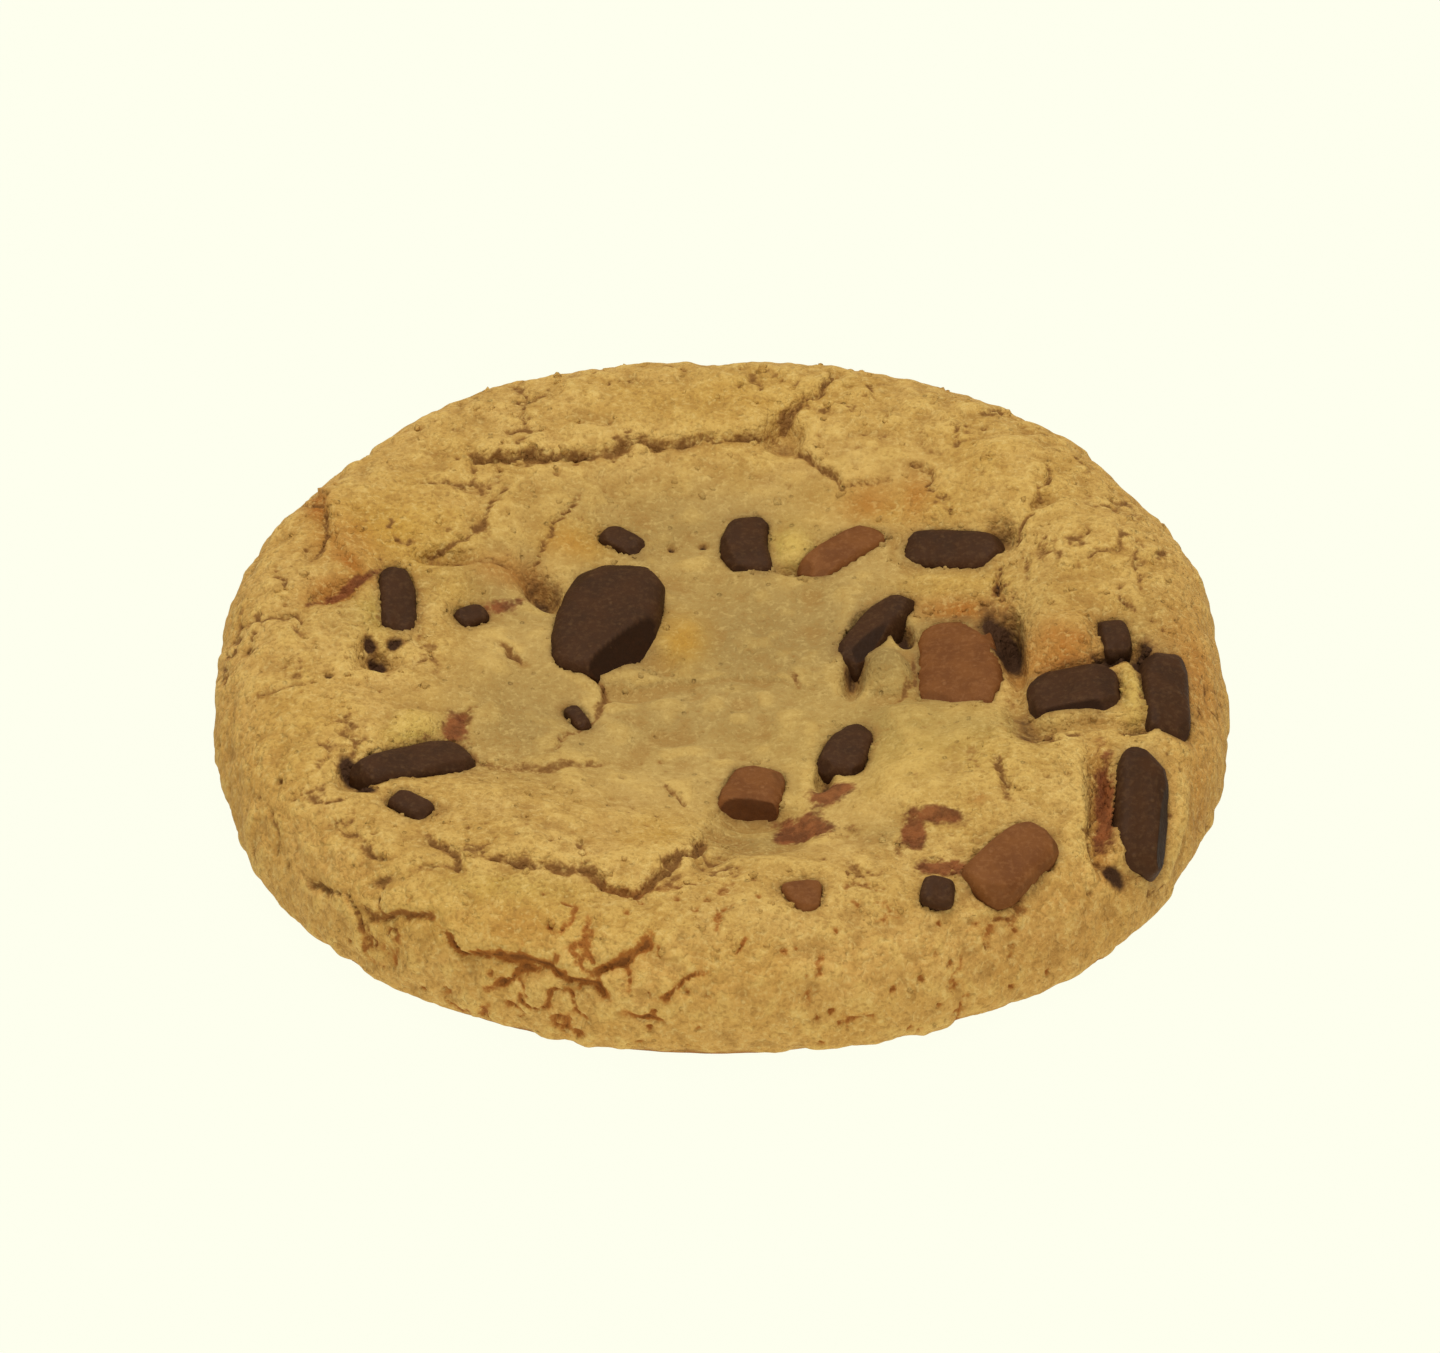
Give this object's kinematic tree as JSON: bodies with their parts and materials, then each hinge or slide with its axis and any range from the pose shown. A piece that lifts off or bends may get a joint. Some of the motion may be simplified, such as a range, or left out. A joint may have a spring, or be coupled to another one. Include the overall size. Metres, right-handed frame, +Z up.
{
  "type": "chocolate chunk cookie",
  "caption": "Thick round baked cookie with a cracked golden top, a crumbly raised rim, and dark and milk chocolate chunks set in pockets of the dough.",
  "frame": {"origin": "middle of the cookie's box in plan, at the height of its baked underside", "axes": "+Z up out of the cookie's top, through its thickness; -Y towards the picture's viewer, +X to the picture's right"},
  "size_m": [0.0904, 0.09, 0.0132],
  "materials": {
    "dough": "matte crumbly golden baked dough, browner at the rim, in the cracks and underneath",
    "dark_chocolate": "dark chocolate with a soft sheen and faint pale bloom",
    "milk_chocolate": "reddish milk chocolate with a soft sheen"
  },
  "bodies": {
    "root": {"dough": "dough", "dark_chunk_big": "dark_chocolate", "dark_chunk_kidney": "dark_chocolate", "dark_chunk_right": "dark_chocolate", "dark_chunk_rod": "dark_chocolate", "dark_chunk_sunk": "dark_chocolate", "dark_chunk_stub": "dark_chocolate", "dark_chunk_edge": "dark_chocolate", "dark_chunk_side": "dark_chocolate", "dark_chunk_kite": "dark_chocolate", "dark_chunk_left_front": "dark_chocolate", "dark_chunk_left": "dark_chocolate", "dark_chip_front": "dark_chocolate", "dark_chip_left_front": "dark_chocolate", "dark_chip_left": "dark_chocolate", "dark_chip_back": "dark_chocolate", "dark_chip_middle": "dark_chocolate", "milk_chunk_sliver": "milk_chocolate", "milk_chunk_big": "milk_chocolate", "milk_chunk_front": "milk_chocolate", "milk_chunk_low": "milk_chocolate", "milk_chip_front": "milk_chocolate"}
  },
  "joints": []
}
